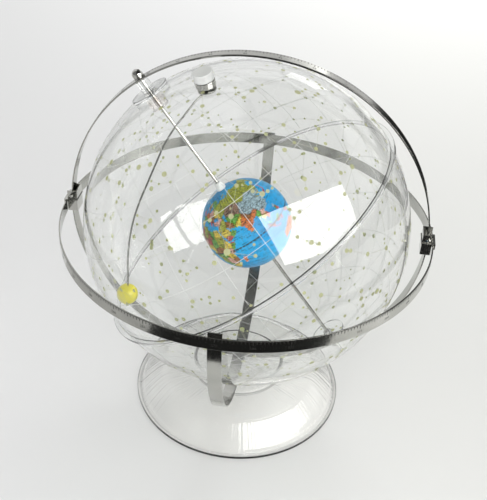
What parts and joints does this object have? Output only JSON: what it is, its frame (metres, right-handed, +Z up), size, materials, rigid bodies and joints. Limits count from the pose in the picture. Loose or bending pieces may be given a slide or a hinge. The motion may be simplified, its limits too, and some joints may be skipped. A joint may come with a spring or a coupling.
{
  "type": "celestial globe",
  "caption": "Transparent celestial globe with an inner Earth and Sun, in steel horizon and meridian rings on a clear dished base.",
  "frame": {"origin": "centre of the base's underside, on the floor", "axes": "+Z up; the polar axis lies in the X-Z plane and rises towards -X (north); -Y is the front"},
  "size_m": [0.351, 0.3484, 0.3776],
  "materials": {
    "steel_strip": "brushed stainless strip",
    "bright_steel": "polished",
    "clear_sphere": "clear acrylic",
    "clear_base": "clear acrylic",
    "clear_fittings": "clear acrylic",
    "earth_print": "printed map, gloss",
    "white_plastic": "satin white",
    "sun_yellow": "gloss yellow"
  },
  "bodies": {
    "stand": {"base_dish": "clear_base", "base_spacer": "clear_fittings", "base_screw": "bright_steel", "base_washer": "bright_steel", "base_nut": "bright_steel", "cradle_strap": "steel_strip", "horizon_ring": "steel_strip", "clip_north": "steel_strip", "clip_south": "steel_strip", "clip_screw_north": "bright_steel", "clip_screw_south": "bright_steel"},
    "meridian": {"meridian_ring": "steel_strip", "polar_washer_north": "bright_steel", "polar_washer_south": "bright_steel"},
    "celestial_sphere": {"sphere_north": "clear_sphere", "sphere_south": "clear_sphere", "polar_hub_north": "clear_fittings", "polar_hub_south": "clear_fittings", "inner_collar_north": "clear_fittings"},
    "earth_axle": {"polar_rod": "bright_steel", "dome_nut_north": "bright_steel", "dome_nut_south": "bright_steel", "earth_north": "earth_print", "earth_south": "earth_print", "earth_boss_north": "white_plastic", "earth_boss_south": "white_plastic"},
    "sun": {"ecliptic_knob": "white_plastic", "ecliptic_shaft": "bright_steel", "knob_ferrule": "bright_steel", "inner_washer": "bright_steel", "sun_arm": "bright_steel", "sun_ball": "sun_yellow"}
  },
  "joints": [
    {"name": "latitude", "type": "hinge", "parent": "stand", "child": "meridian", "pos_m": [0, 0, 0.2085], "axis": [0, 1, 0], "range_deg": [-44.4, 31.6]},
    {"name": "sphere_spin", "type": "hinge", "parent": "meridian", "child": "celestial_sphere", "pos_m": [0, 0, 0.2085], "axis": [-0.5962, 0, 0.8028], "continuous": true},
    {"name": "earth_spin", "type": "hinge", "parent": "meridian", "child": "earth_axle", "pos_m": [0, 0, 0.2085], "axis": [-0.5962, 0, 0.8028], "continuous": true},
    {"name": "sun_travel", "type": "hinge", "parent": "celestial_sphere", "child": "sun", "pos_m": [0, 0, 0.2085], "axis": [-0.2513, -0.1503, 0.9562], "range_deg": [-54.6, 295.4]}
  ]
}
